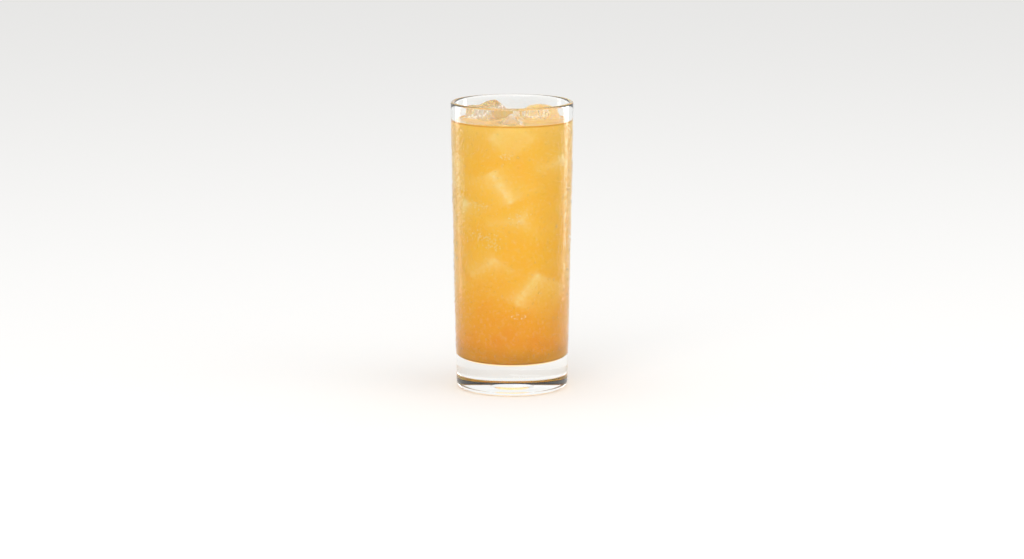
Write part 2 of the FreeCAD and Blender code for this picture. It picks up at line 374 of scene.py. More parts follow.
def misted_glass():
    """Clear pressed glass with faint waves, and a mist of fine beads of water where it is cold."""
    material = clear_material("pressed_glass", GLASS_TINT, GLASS_IOR, 0.0, *WALL_WAVES)
    nodes, links = material.node_tree.nodes, material.node_tree.links
    shader = nodes["Principled BSDF"]
    cells, relief = nodes.new("ShaderNodeTexVoronoi"), nodes.new("ShaderNodeBump")
    give(cells, {"Scale": 1 / MIST_SPACING})
    links.new(own_place(nodes), cells.inputs["Vector"])
    domes = range_of(nodes, links, cells.outputs["Distance"], *MIST_DOME, 1.0, 0.0)
    links.new(domes, relief.inputs["Height"])
    links.new(read_attribute(nodes, "misted"), relief.inputs["Strength"])
    give(relief, {"Distance": MIST_DEPTH})
    links.new(shader.inputs["Normal"].links[0].from_socket, relief.inputs["Normal"])
    links.new(relief.outputs["Normal"], shader.inputs["Normal"])
    return material


points, faces = revolve(glass_profile(), TURNS)
tumbler = mesh_object("tumbler", points, faces)
store(tumbler.data, "misted", mist_amount(points))
tumbler.data.materials.append(misted_glass())
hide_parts("glass")
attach(tumbler, "root")


# ---------------------------------------------------------------------------------------------
# The floating ice: three tray cubes frozen with a crowned top and melted round at their edges. They
# stand out of the drink where their CAD solids lie, clear and wet, with frost and fine bubbles inside.
LEVEL = HEIGHT - 10.3 * MM
DRAFT = math.radians(2.5)
FLOATING = {
    # edge, round, fall of the crown, middle (its lift over the level), yaw, pitch and roll in degrees
    "ice_cube_left": (20.5, 1.6, 2.0, (-12.4, 4.4, -3.3), (-35.5, -14.0, -41.0)),
    "ice_cube_right": (21.0, 5.0, 8.4, (14.8, 7.0, -2.7), (12.0, 3.0, 5.0)),
    "ice_cube_front": (15.5, 2.2, 1.7, (-0.8, -18.0, -4.7), (0.0, -43.0, 6.0)),
}
CROWN_REACH = 0.75  # of the edge: how far out the crown has fallen by its full fall
FLOATING_STEPS = 36  # grid steps along each edge
MELTED_BY = 0.2 * MM
MELT_WAVES, MELT_PITCH = 9, (150, 420)  # how many, and how steep, in radians to the metre
HOLLOW_BETWEEN = ((-1, -1, 1), (1, -1, 1), 0.42)  # two corners of the left cube, and how far along
HOLLOW_WIDTH, HOLLOW_DEPTH = 3.2 * MM, 1.5 * MM
SEEN_TILT = 0.13
FROST_BAND = (-24.5 * MM, 0.6 * MM, 0.34, 1.5 * MM)  # from where across, how high, its slope, half its width
FROST_BAND_AMOUNTS = (0.22, 1.2)  # all over the left cube, and added along the band
FROST_OVAL = (12.3 * MM, 3.8 * MM, 7.4 * MM, 2.4 * MM)  # across, seen height over the level, half axes
FROST_OVAL_AMOUNTS = (0.5, 0.85), (0.45, 0.8)  # share of the way out to its edge, amount
FROST_OVAL_EDGE = (1.08, 4.0)  # share of the way where it ends, and how steeply
FROST_ELSEWHERE = 0.1
FROST_GRAIN = 900.0
FROST_COLOURS = (0.48, 0.44, 0.38, 1.0), (0.98, 0.97, 0.95, 1.0)
FILM_HEIGHTS = {"ice_cube_left": 3.0 * MM, "ice_cube_right": 7.0 * MM, "ice_cube_front": 12.0 * MM}
FILM_COVER = 0.45  # how much it hides where it is thickest
LEAST_CLEAR = 0.25
JUICE_FILM = (0.97, 0.70, 0.34, 1.0)
CLEAR_ICE = (0.985, 0.96, 0.91, 1.0)
ICE_IOR = 1.31
ICE_RELIEF = (260.0, 0.35 * MM)  # scale, depth


def turned(yaw, pitch, roll):
    """The rotation by yaw about Z, then pitch about the new Y, then roll about the new X, in degrees."""
    return np.array(Euler((math.radians(roll), math.radians(pitch), math.radians(yaw)), "XYZ").to_matrix())


def cube_grid(steps):
    """The faces of a cube from -1 to 1 as one closed grid: six square grids welded at their seams.

    Along an edge the lines lie at tan(a) for angles a spread evenly from -45 to 45 degrees.
    """
    ramp = np.tan(np.linspace(-1, 1, steps + 1) * math.pi / 4)
    u, v = (a.ravel() for a in np.meshgrid(ramp, ramp, indexing="ij"))
    one = np.ones_like(u)
    sides = [np.stack(side, 1) for side in (
        (one, u, v), (-one, v, u), (v, one, u), (u, -one, v), (u, v, one), (v, u, -one))]
    points = np.concatenate(sides)
    row = steps + 1
    i, j = (a.ravel() for a in np.meshgrid(np.arange(steps), np.arange(steps), indexing="ij"))
    quad = np.stack([i * row + j, (i + 1) * row + j, (i + 1) * row + j + 1, i * row + j + 1], 1)
    faces = np.concatenate([quad + side * row * row for side in range(6)])
    _, keep, weld = np.unique(points.round(6), axis=0, return_index=True, return_inverse=True)
    return points[keep], weld.ravel()[faces]


def cube_shape(grid, edge, rounding, fall):
    """A cube's points: each grid point drawn in by the rounding and pushed out again along its normal.

    p = q + r n, where q is the point on the smaller sharp cube and n the direction from q's inner core.
    The top then falls along a sphere of radius (d^2 + f^2) / 2f, which is down by f at the reach d, less
    so further down, and the sides draw in towards the bottom by the draft.
    """
    half = edge / 2
    point = grid * half
    core = np.clip(point, rounding - half, half - rounding)
    out = point - core
    length = np.linalg.norm(out, axis=1, keepdims=True)
    point = core + rounding * out / np.maximum(length, 1e-12)
    high = (point[:, 2] / half + 1) / 2
    reach = CROWN_REACH * edge
    sphere = (reach**2 + fall**2) / (2 * fall)
    away = point[:, 0] ** 2 + point[:, 1] ** 2
    point[:, 2] -= (sphere - np.sqrt(np.maximum(sphere**2 - away, 0))) * np.clip(high, 0, 1) ** 2
    point[:, :2] *= 1 - (half - point[:, 2:3]) * math.tan(DRAFT) / half
    return point


def melt(points, amount, draw):
    """Uneven melting: each point moves along its direction by a mean of slow sine waves, drawn by chance."""
    ways = draw.normal(size=(MELT_WAVES, 3)) * draw.uniform(*MELT_PITCH, (MELT_WAVES, 1))
    phases = draw.uniform(0, 2 * math.pi, MELT_WAVES)
    waves = np.sin(points @ ways.T + phases).mean(1, keepdims=True)
    away = points / np.linalg.norm(points, axis=1, keepdims=True)
    return points + amount * waves * away


def hollow(points, middle, width, depth):
    """A melted hollow: points sink by depth e^(-d^2 / 2 width^2) at distance d from its middle."""
    away = ((points - middle) ** 2).sum(1)
    points[:, 2] -= depth * np.exp(-away / (2 * width**2))
    return points


def cube_distance(points, cube):
    """Signed distance to a rounded cube: outside |max(|q| - h + r, 0)| - r, and less inside it.

    q is the point in the cube's own frame, h half its edge and r its rounding.
    """
    rotation, middle, half, rounding = cube
    over = np.abs((points - middle) @ rotation) - (half - rounding)
    outside = np.sqrt((np.maximum(over, 0) ** 2).sum(-1))
    return outside + np.minimum(over.max(-1), 0) - rounding


def seen_height(points):
    """How high over the level a point looks from the front: its height, and a little more further back."""
    return points[:, 2] - LEVEL + SEEN_TILT * points[:, 1]


def oval_ring(points):
    """How far out a point lies in the right cube's frosty oval: 0 in its middle, 1 at its edge."""
    across, height, wide, tall = FROST_OVAL
    return np.hypot((points[:, 0] - across) / wide, (seen_height(points) - height) / tall)


def frost_amount(node, points):
    """Where a cube is frosty: the left in a band that climbs to the right, the right in an oval patch.

    Across the band the frost falls off as e^(-(t / w)^2), at t from its middle line and w half its width.
    """
    if node == "ice_cube_left":
        across, height, slope, half = FROST_BAND
        over = seen_height(points) - height - slope * (points[:, 0] - across)
        everywhere, added = FROST_BAND_AMOUNTS
        return np.clip(everywhere + added * np.exp(-(over / half) ** 2), 0, 1)
    if node == "ice_cube_right":
        ring = oval_ring(points)
        end, steep = FROST_OVAL_EDGE
        return np.clip(steep * (end - ring), 0, 1) * np.interp(ring, *FROST_OVAL_AMOUNTS)
    return np.full(len(points), FROST_ELSEWHERE)


def two_tones(nodes, links, value, first, second, start=0.0, end=1.0):
    """A colour that goes from one to another as a value goes from start to end."""
    ramp = nodes.new("ShaderNodeValToRGB")
    for stop, place, colour in zip(ramp.color_ramp.elements, (start, end), (first, second)):
        stop.position = place
        stop.color = colour
    links.new(value, ramp.inputs["Fac"])
    return ramp.outputs["Color"]


def mix_colours(nodes, links, share, first, second):
    """A mix of two colours; each is a socket or a plain colour."""
    mix = nodes.new("ShaderNodeMix")
    mix.data_type = "RGBA"
    links.new(share, mix.inputs["Factor"])
    for socket, colour in ((mix.inputs[6], first), (mix.inputs[7], second)):
        if isinstance(colour, tuple):
            socket.default_value = colour
        else:
            links.new(colour, socket)
    return mix.outputs[2]


def wet_ice_material():
    """Wet ice: clear, its surface uneven from melting, milky where it is frosty inside, with a film of
    juice near the waterline."""
    material = clear_material("wet_ice", CLEAR_ICE, ICE_IOR, 0.03, *ICE_RELIEF)
    nodes, links = material.node_tree.nodes, material.node_tree.links
    shader = nodes["Principled BSDF"]
    grain = noise_at(nodes, links, own_place(nodes), FROST_GRAIN, 3.0)
    juicy = read_attribute(nodes, "juicy")
    grainy = range_of(nodes, links, grain, 0.35, 0.65, 0.35, 1.0)
    milky = calculate(nodes, links, "MULTIPLY", read_attribute(nodes, "frosty"), grainy)
    film_cover = range_of(nodes, links, juicy, 0.0, 1.0, 0.0, FILM_COVER)
    cover = calculate(nodes, links, "MAXIMUM", milky, film_cover)
    clear = range_of(nodes, links, cover, 0.0, 1.0, 1.0, LEAST_CLEAR)
    links.new(clear, shader.inputs["Transmission Weight"])
    frost = two_tones(nodes, links, grain, *FROST_COLOURS, 0.38, 0.6)
    film = two_tones(nodes, links, juicy, CLEAR_ICE, JUICE_FILM)
    links.new(mix_colours(nodes, links, milky, film, frost), shader.inputs["Base Color"])
    return material


wet_ice = wet_ice_material()
ice_chance = np.random.default_rng(7)
grid, cube_faces = cube_grid(FLOATING_STEPS)
cube_shapes, floating_cubes, clear_cubes = [], [], {}
for node, (edge, rounding, fall, middle, angles) in FLOATING.items():
    shape = melt(cube_shape(grid, edge * MM, rounding * MM, fall * MM), MELTED_BY, ice_chance)
    place = np.array(middle) * MM + (0, 0, LEVEL)
    rotation = turned(*angles)
    cube_shapes.append(shape)
    floating_cubes.append((rotation, place, edge * MM / 2, rounding * MM))
    lying = shape @ rotation.T + place
    if node == "ice_cube_left":
        first, last, share = HOLLOW_BETWEEN
        between = np.array(first) * (1 - share) + np.array(last) * share
        lying = hollow(lying, rotation @ between * edge * MM / 2 + place, HOLLOW_WIDTH, HOLLOW_DEPTH)
    cube = mesh_object(node.replace("cube", "clear"), lying, cube_faces)
    cube.data.materials.append(wet_ice)
    store(cube.data, "frosty", frost_amount(node, lying))
    store(cube.data, "juicy", np.clip(1 - (lying[:, 2] - LEVEL) / FILM_HEIGHTS[node], 0, 1))
    clear_cubes[node] = (cube, lying)
    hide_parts(node)
    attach(cube, "root")


# ---------------------------------------------------------------------------------------------
# The sunk ice: more cubes from the same tray, packed under the floating ones. All but one lie at the
# glass or just off it, where a face, an edge or a corner shows pale through the last of the juice.
SUNK = [
    # turn from the front, height, gap to the glass, edge (mm), spin in the wall's plane, tip, nod
    (-11.0, 109.7, -0.1, 19.0, -34.0, 45.0, 4.0),
    (54.0, 121.0, 0.0, 18.0, 51.0, 38.0, 30.0),
    (-80.0, 115.0, 0.1, 18.0, -4.0, 14.0, 3.0),
    (4.5, 92.0, 0.5, 18.0, 60.0, 40.0, 32.0),
    (-56.0, 96.5, 0.0, 19.0, 5.0, 40.0, 28.0),
    (-26.0, 68.0, 0.9, 17.0, 40.0, 40.0, 18.0),
    (25.0, 55.5, 0.5, 19.5, 31.0, 27.0, 8.0),
    (101.0, 97.0, 0.3, 19.0, 25.0, 40.0, 8.0),
    (-118.0, 92.0, 0.1, 19.0, -20.0, 8.0, 5.0),
    (175.0, 108.0, 0.0, 19.5, 30.0, 44.0, 4.0),
    (150.0, 84.0, 0.3, 18.0, -25.0, 12.0, 20.0),
    (95.0, 66.0, 0.1, 18.5, 12.0, 38.0, 30.0),
    (-100.0, 60.0, 0.2, 19.0, -35.0, 20.0, 12.0),
    (-165.0, 62.0, 0.0, 18.5, 15.0, 45.0, 6.0),
]
SUNK_ROUND = 1.8 * MM
SUNK_CROWN = 0.8 * MM
SUNK_MELTED_BY = 0.1 * MM
SUNK_STEPS = 14
FILLERS, FILLER_TRIES = 5, 4000  # the most cubes placed by chance where there is room, and tries; one fits
FILLER_REACH = 19  # mm, each way from the axis
FILLER_HEIGHTS = (40 * MM, 112 * MM)
FILLER_HALVES = (9.0, 10.0)  # mm
FILLER_TURN = 45  # degrees, each way
FILLER_ROOM = 1.12  # times both half edges, from middle to middle
FILLER_WALL_ROOM = 1.35  # times its half edge, from its middle to the wall
ICE_IN_JUICE = (0.86, 0.56, 0.20, 1.0), (0.95, 0.78, 0.45, 1.0)


def lean_on_wall(turn, height, gap, edge, spin, tip, nod):
    """Where a cube lies that leans on the wall: its rotation, middle, half edge and rounding.

    It faces outwards at its turn, is spun about that direction, tipped about its own Z and nodded about
    its own X. Its middle lies as far out as the first of its corners to come within the gap allows:
    t = -o.c + sqrt((o.c)^2 - |c|^2 + R^2) for a corner c, the outward direction o and the wall's R.
    """
    facing, spun = turned(turn, 0, 0), turned(0, spin, 0)
    rotation = facing @ spun @ turned(tip, 0, 0) @ turned(0, 0, nod)
    outward = (facing @ np.array([0, -1, 0]))[:2]
    half = edge * MM / 2
    signs = np.array(np.meshgrid([-1, 1], [-1, 1], [-1, 1])).reshape(3, -1).T
    corners = signs * (half - SUNK_ROUND) @ rotation.T
    room = inner_radius(height * MM + corners[:, 2]) - gap * MM - SUNK_ROUND
    along = corners[:, :2] @ outward
    away = -along + np.sqrt(along**2 - (corners[:, :2] ** 2).sum(1) + room**2)
    middle = np.append(outward * away.min(), height * MM)
    return rotation, middle, half, SUNK_ROUND


def pack_fillers(placed, draw):
    """The cubes there are, and up to a few more at chance places that lie clear of them and of each other."""
    wanted = len(placed) + FILLERS
    placed = list(placed)
    for _ in range(FILLER_TRIES):
        middle = draw.uniform(-FILLER_REACH, FILLER_REACH, 3) * MM
        middle[2] = draw.uniform(*FILLER_HEIGHTS)
        half = draw.uniform(*FILLER_HALVES) * MM
        rotation = turned(*draw.uniform(-FILLER_TURN, FILLER_TURN, 3))
        clear = all(np.linalg.norm(middle - other[1]) > FILLER_ROOM * (half + other[2]) for other in placed)
        if clear and np.hypot(middle[0], middle[1]) < inner_radius(middle[2]) - FILLER_WALL_ROOM * half:
            placed.append((rotation, middle, half, SUNK_ROUND))
        if len(placed) == wanted:
            break
    return placed


def ice_in_juice():
    """Ice seen through juice: milky, with frost inside."""
    material, nodes, links, shader, _ = plain_nodes("ice_in_juice")
    give(shader, {"Roughness": 0.25, "IOR": ICE_IOR})
    frost = bump(nodes, links, shader, 500.0, 0.1 * MM, 4.0)
    links.new(two_tones(nodes, links, frost, *ICE_IN_JUICE, 0.35, 0.7), shader.inputs["Base Color"])
    return material


all_cubes = pack_fillers(floating_cubes + [lean_on_wall(*row) for row in SUNK], ice_chance)
grid, faces = cube_grid(SUNK_STEPS)
sunk_points, sunk_faces = [], []
for number, (rotation, middle, half, rounding) in enumerate(all_cubes[len(floating_cubes):]):
    shape = melt(cube_shape(grid, 2 * half, rounding, SUNK_CROWN), SUNK_MELTED_BY, ice_chance)
    sunk_points.append(shape @ rotation.T + middle)
    sunk_faces.append(faces + number * len(grid))
sunk_ice = mesh_object("sunk_ice", np.concatenate(sunk_points), np.concatenate(sunk_faces))
sunk_ice.data.materials.append(ice_in_juice())
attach(sunk_ice, "root")


# ---------------------------------------------------------------------------------------------
# The drink: cloudy citrus juice, poured over the ice. It fills the glass, wets the wall and the ice with
# a meniscus, and is deeper in colour at the bottom. It reaches just into the glass and into the ice.
DRINK_TURNS = 256
INTO_GLASS = 0.12 * MM
INTO_ICE = 0.08 * MM
WALL_RISE, WALL_RUN = 1.1 * MM, 2.2 * MM
ICE_RISE, ICE_RUN = 1.3 * MM, 1.1 * MM
TOP_MARGIN = 0.25 * MM  # what lies higher than this under the level belongs to the surface
TOP_LEAN = 0.2  # the least that a face of the surface looks up
CREASE = math.radians(50)  # between faces: sharper edges stay sharp
NEAR_SIGHT = (2.2 * MM, 0.35)  # how deep ice shows sharply through the juice, and its blur by depth
BROAD_SIGHT = (8.0 * MM, 0.9)  # and how deep as a glow
SIGHT_STEPS = 16
SIGHT_REACH = 3.2  # times the depth
LEAST_BLUR = 0.15 * MM
CUBE_REACH = 2.2  # times its half edge: no cube reaches further from its middle
JUICE_BY_HEIGHT = [
    # height over the inner floor as a share of the drink's depth, colour
    # the lowest stop is lighter than the next: painted light against the shade in the inner floor's corner
    (0.00, (1.000, 0.400, 0.001)),
    (0.07, (0.860, 0.350, 0.001)),
    (0.16, (0.880, 0.400, 0.001)),
    (0.28, (0.910, 0.455, 0.002)),
    (0.50, (0.920, 0.510, 0.008)),
    (0.85, (0.920, 0.520, 0.018)),
    (1.00, (0.870, 0.550, 0.070)),
]
DRIFT = (0.3, 0.7)  # the lowest and highest of the slow noise by which the juice varies
SWIRL = 0.05  # of the depth, up and down
GLOW = (0.960, 0.670, 0.130, 1.0)  # juice with ice some way behind it
MOST_GLOW = 0.75
PALE = (0.965, 0.800, 0.400, 1.0)  # ice just behind it
MOST_PULP = 0.22
LOWER_EDGE_PAINTED_GLOW = (1.000, 0.740, 0.400, 1.0)  # painted glow: a paler colour along the drink's lowest edge, standing in for light gathered by the thick base
LOWER_EDGE_HEIGHTS = (0.9 * MM, 1.3 * MM)  # over the inner floor: where it starts to fade, and ends
# the painted glow's emission strength: the juice glows there though it is no lamp
LOWER_PAINTED_GLOW_STRENGTH = 0.7
LOWER_SHADE = (0.350, 0.120, 0.001, 1.0)  # the thin shade over that light edge
LOWER_SHADE_HEIGHT = 1.2 * MM
MOST_LOWER_SHADE = 0.6
OPEN_SURFACE_FOAM_AND_SHADE = (0.640, 0.370, 0.110, 1.0)  # foamier and paler in hue than the depths, and darker, with painted shade on the top that faces the overhead lamp
OPEN_SURFACE_COVER = (0.7, 1.0)  # least and most
# painted shade along the waterline, where the meniscus meets the glass
WATERLINE_SHADE = (0.620, 0.290, 0.020, 1.0)
WATERLINE_WIDTH = 0.9 * MM
JUICE_IOR = 1.33
SPREAD_SHARES, SPREAD = (1.0, 0.5, 0.12), 4.0 * MM  # how far red, green and blue light spread in it


def drink_profile():
    """The section from the middle of the bottom, out, up the wall, and back over the surface to the axis,
    with the number of its points on the surface."""
    corner = floor_corner_profile(INTO_GLASS, 14)
    contact = LEVEL + WALL_RISE
    wall_top = (inner_radius(contact) + INTO_GLASS, contact)
    top = line((inner_radius(contact), contact), (0, LEVEL), 64)
    parts = [
        line((0, corner[0, 1]), tuple(corner[0]), 16),
        corner[1:],
        line(tuple(corner[-1]), wall_top, 190)[1:],
        top,
    ]
    return np.concatenate(parts), len(top)


def surface_height(points):
    """The level, raised along an arc where it wets the wall, and by r e^(-d/l) at distance d from ice.

    The arc runs over a width w and rises by h, so its radius is (w^2 + h^2) / 2h.
    """
    radius = np.hypot(points[:, 0], points[:, 1])
    arc_radius = (WALL_RUN**2 + WALL_RISE**2) / (2 * WALL_RISE)
    into_run = np.clip(radius - inner_radius(LEVEL + WALL_RISE) + WALL_RUN, 0, WALL_RUN)
    height = LEVEL + arc_radius - np.sqrt(arc_radius**2 - into_run**2)
    flat = np.stack([points[:, 0], points[:, 1], np.full(len(points), LEVEL)], 1)
    for cube in floating_cubes:
        away = np.maximum(cube_distance(flat, cube), 0)
        height = np.maximum(height, LEVEL + ICE_RISE * np.exp(-away / ICE_RUN))
    return height


def carve(piece, shape, faces, rotation, place):
    """Cuts a floating cube's room out of the drink, a little smaller than the cube."""
    smaller = shape * (1 - INTO_ICE / np.linalg.norm(shape, axis=1, keepdims=True))
    cutter = mesh_object("cutter", smaller @ rotation.T + place, faces)
    cut = piece.modifiers.new("room_for_ice", "BOOLEAN")
    cut.operation = "DIFFERENCE"
    cut.solver = "EXACT"
    cut.object = cutter
    graph = bpy.context.evaluated_depsgraph_get()
    carved = bpy.data.meshes.new_from_object(piece.evaluated_get(graph))
    piece.modifiers.clear()
    piece.data = carved
    bpy.data.objects.remove(cutter)


def ice_behind(points, inwards, depth_of_sight, blur):
    """How much ice shows through the juice, from 0 to 1.

    Along the way s inwards from each point it is the largest e^(-s/depth) h, where h goes smoothly from
    0 outside a cube to 1 inside it over a width that grows with s, as cloudy juice blurs what is deep.
    """
    seen = np.zeros(len(points))
    for step in range(SIGHT_STEPS):
        deep = SIGHT_REACH * depth_of_sight * step / SIGHT_STEPS
        width = LEAST_BLUR + blur * deep
        at = points + inwards * deep
        nearest = np.full(len(points), 1.0)
        for cube in all_cubes:
            near = np.abs(points - cube[1]).max(1) < CUBE_REACH * cube[2] + deep + width
            if near.any():
                nearest[near] = np.minimum(nearest[near], cube_distance(at[near], cube))
        hit = np.clip(0.5 - nearest / width, 0, 1)
        hit = hit * hit * (3 - 2 * hit)
        seen = np.maximum(seen, math.exp(-deep / depth_of_sight) * hit)
    return seen


def colour_by_height(nodes, links, height, drift):
    """The juice's colour at a height, which swirls a little up and down with its drift."""
    share = range_of(nodes, links, height, FLOOR_HEIGHT, LEVEL)
    swirl = range_of(nodes, links, drift, *DRIFT, -SWIRL, SWIRL)
    ramp = nodes.new("ShaderNodeValToRGB")
    stops = ramp.color_ramp.elements
    while len(stops) < len(JUICE_BY_HEIGHT):
        stops.new(0.5)
    for stop, (at, colour) in zip(stops, JUICE_BY_HEIGHT):
        stop.position = at
        stop.color = (*colour, 1.0)
    links.new(calculate(nodes, links, "ADD", swirl, share), ramp.inputs["Fac"])
    return ramp.outputs["Color"]


def over_ice(nodes, links, place, colour):
    """The juice's colour where ice lies behind it: a broad glow, and a pale patch where it is near."""
    glow = range_of(nodes, links, read_attribute(nodes, "broad"), 0.0, 1.0, 0.0, MOST_GLOW)
    grain = range_of(nodes, links, noise_at(nodes, links, place, 420.0, 5.0, 0.65), 0.36, 0.62, 0.35, 1.0)
    near = calculate(nodes, links, "MULTIPLY", read_attribute(nodes, "near"), grain)
    return mix_colours(nodes, links, near, mix_colours(nodes, links, glow, colour, GLOW), PALE)


def near_wall(nodes, links, parts):
    """How near a point is to the wall at the level: 1 against it, 0 from the waterline's width inwards."""
    flat, radius = nodes.new("ShaderNodeCombineXYZ"), nodes.new("ShaderNodeVectorMath")
    radius.operation = "LENGTH"
    links.new(parts.outputs["X"], flat.inputs["X"])
    links.new(parts.outputs["Y"], flat.inputs["Y"])
    links.new(flat.outputs["Vector"], radius.inputs[0])
    edge = inner_radius(LEVEL)
    return range_of(nodes, links, radius.outputs["Value"], edge - WATERLINE_WIDTH, edge)


def juice_material(name, wet):
    """Cloudy juice: its colour by height, paler where ice lies behind it, with drifting pulp, a painted glow
    along its lowest edge under a thin painted shade, and painted shade along the waterline. Its open surface
    is wet, with foam and painted shade; against the glass it is matt."""
    material, nodes, links, shader, _ = plain_nodes(name)
    place, parts = own_place(nodes), nodes.new("ShaderNodeSeparateXYZ")
    links.new(place, parts.inputs["Vector"])
    height = parts.outputs["Z"]
    drift = noise_at(nodes, links, place, 70.0, 3.0)
    colour = over_ice(nodes, links, place, colour_by_height(nodes, links, height, drift))
    pulp = noise_at(nodes, links, place, 700.0, 4.0, 0.6)
    pulpy = range_of(nodes, links, pulp, 0.52, 0.72, 0.0, MOST_PULP)
    colour = mix_colours(nodes, links, pulpy, colour, PALE)
    start, end = (FLOOR_HEIGHT + rise for rise in LOWER_EDGE_HEIGHTS)
    shade = range_of(nodes, links, height, end, end + LOWER_SHADE_HEIGHT, MOST_LOWER_SHADE, 0.0)
    colour = mix_colours(nodes, links, shade, colour, LOWER_SHADE)
    # painted glow along the lowest edge: a paler colour mixed in, and emission
    low = range_of(nodes, links, height, start, end, 1.0, 0.0)
    colour = mix_colours(nodes, links, low, colour, LOWER_EDGE_PAINTED_GLOW)
    painted_glow_strength = range_of(nodes, links, height, start, end, LOWER_PAINTED_GLOW_STRENGTH, 0.0)
    links.new(painted_glow_strength, shader.inputs["Emission Strength"])
    # painted shade along the waterline: on the side against the glass over the level, and on the open surface
    # by the wall
    by_wall = near_wall(nodes, links, parts)
    high = range_of(nodes, links, height, LEVEL, LEVEL + WALL_RISE / 2)
    contact = calculate(nodes, links, "MULTIPLY", by_wall, high)
    colour = mix_colours(nodes, links, contact, colour, WATERLINE_SHADE)
    if wet:
        # the open surface: foam, and painted shade that darkens the top
        foam_and_shade = range_of(nodes, links, drift, *DRIFT, *OPEN_SURFACE_COVER)
        colour = mix_colours(nodes, links, foam_and_shade, colour, OPEN_SURFACE_FOAM_AND_SHADE)
        # painted shade along the waterline on the open surface
        colour = mix_colours(nodes, links, by_wall, colour, WATERLINE_SHADE)
        give(shader, {"IOR": JUICE_IOR, "Roughness": 0.08})
    else:
        give(shader, {"Specular IOR Level": 0.0, "Roughness": 0.9})
    links.new(colour, shader.inputs["Base Color"])
    give(shader, {"Subsurface Weight": 0.5, "Subsurface Radius": SPREAD_SHARES})
    give(shader, {"Subsurface Scale": SPREAD, "Emission Color": LOWER_EDGE_PAINTED_GLOW})
    return material


def vectors_of(items, name):
    """One vector for each point, normal or face of a mesh, as the rows of an array."""
    values = np.empty(len(items) * 3)
    items.foreach_get(name, values)
    return values.reshape(-1, 3)


profile, top_rows = drink_profile()
points, faces = revolve(profile, DRINK_TURNS)
surface = np.zeros(len(points), bool)
surface[len(points) - 2 - (top_rows - 1) * DRINK_TURNS:-2] = True
surface[-1] = True
points[surface, 2] = surface_height(points[surface])
drink = mesh_object("citrus_juice", points, faces)
for shape, (rotation, middle, _, _) in zip(cube_shapes, floating_cubes):
    carve(drink, shape, cube_faces, rotation, middle)
mesh = drink.data
mesh.shade_smooth()
mesh.set_sharp_from_angle(angle=CREASE)
points, inwards = vectors_of(mesh.vertices, "co"), -vectors_of(mesh.vertex_normals, "vector")
store(mesh, "near", ice_behind(points, inwards, *NEAR_SIGHT))
store(mesh, "broad", ice_behind(points, inwards, *BROAD_SIGHT))
mesh.materials.clear()
mesh.materials.append(juice_material("citrus_juice", wet=False))
mesh.materials.append(juice_material("juice_surface", wet=True))
centres, normals = vectors_of(mesh.polygons, "center"), vectors_of(mesh.polygons, "normal")
on_top = (centres[:, 2] > LEVEL - TOP_MARGIN) & (normals[:, 2] > TOP_LEAN)
mesh.polygons.foreach_set("material_index", on_top.astype(np.int32))
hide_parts("drink")
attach(drink, "root")


# ---------------------------------------------------------------------------------------------
# The bubbles: fine air bubbles frozen into the floating cubes, a few more caught under the juice's
# surface against the glass, and some that float beside the ice.
BALL_STEPS = 3
CORE_BUBBLES, CORE_SPREAD, CORE_RADII = 70, 0.26, (0.08, 0.3)  # in each cube; of its half edge; mm
PATCH_BUBBLES, PATCH_RADII = 150, (0.10, 0.32)  # in the right cube's frosty oval; mm
PATCH_RINGS, PATCH_MIDDLE = (0.72, 1.06), 0.25  # share of the way out: inside the first they are fewer
PATCH_DEPTH = 0.15 * MM
PATCH_FACING = 0.05  # the least that the ice looks forwards there
WALL_CLUSTERS = [
    # turn from the front and height of the middle, spread round and up (mm), how many
    (-32.0, 83.5, 5.0, 1.6, 60),
    (-20.0, 79.0, 2.6, 1.4, 30),
    (-37.0, 99.5, 5.0, 0.7, 26),
    (-6.5, 125.3, 1.5, 0.9, 34),
    (4.0, 93.0, 3.2, 2.2, 36),
    (52.0, 124.0, 1.6, 1.2, 10),
    (-60.0, 104.0, 2.0, 6.0, 24),
    (120.0, 90.0, 5.0, 4.0, 30),
    (-150.0, 70.0, 6.0, 3.0, 30),
]
RING = (7.0, 42.0, 3.6 * MM, 1.1 * MM, 16)  # turn, height (mm), half axes, how many
RING_STRAY = 0.1  # radians along the ring
WALL_RADII = (0.18, 0.46)  # mm
WALL_SINK = 0.6  # of its radius, into the juice
FROTH, FROTH_TRIES, FROTH_RADII = 46, 4000, (0.2, 0.62)  # how many; mm
FROTH_ROOM = (0.3 * MM, 1.0 * MM, 2.4 * MM)  # least from the ice, least from the wall, most from either
FROTH_MARGIN = 1.2 * MM  # from the wall to the square in which places are tried
FROTH_RISE = 0.15  # of its radius
FROZEN_AIR, AIR_IN_JUICE = (0.90, 0.89, 0.86), (1.00, 0.76, 0.32)
BUBBLE_SKIN = (1.0, 0.93, 0.76, 1.0)


def ball(steps):
    """A ball of six square grids, each point of the cube brought to length one."""
    grid, faces = cube_grid(steps)
    return grid / np.linalg.norm(grid, axis=1, keepdims=True), faces


def scatter(name, shape, faces, places, sizes, frames=None):
    """One mesh of many copies: place + frame (size * shape), for arrays of places, sizes and frames."""
    copies = sizes[:, None, :] * shape[None]
    if frames is not None:
        copies = np.einsum("nij,npj->npi", frames, copies)
    points = (places[:, None, :] + copies).reshape(-1, 3)
    offsets = np.arange(len(places)) * len(shape)
    return mesh_object(name, points, (faces[None] + offsets[:, None, None]).reshape(-1, 4))


def bubbles(name, places, radii):
    """One mesh of round bubbles."""
    return scatter(name, *ball(BALL_STEPS), places, radii[:, None].repeat(3, 1))


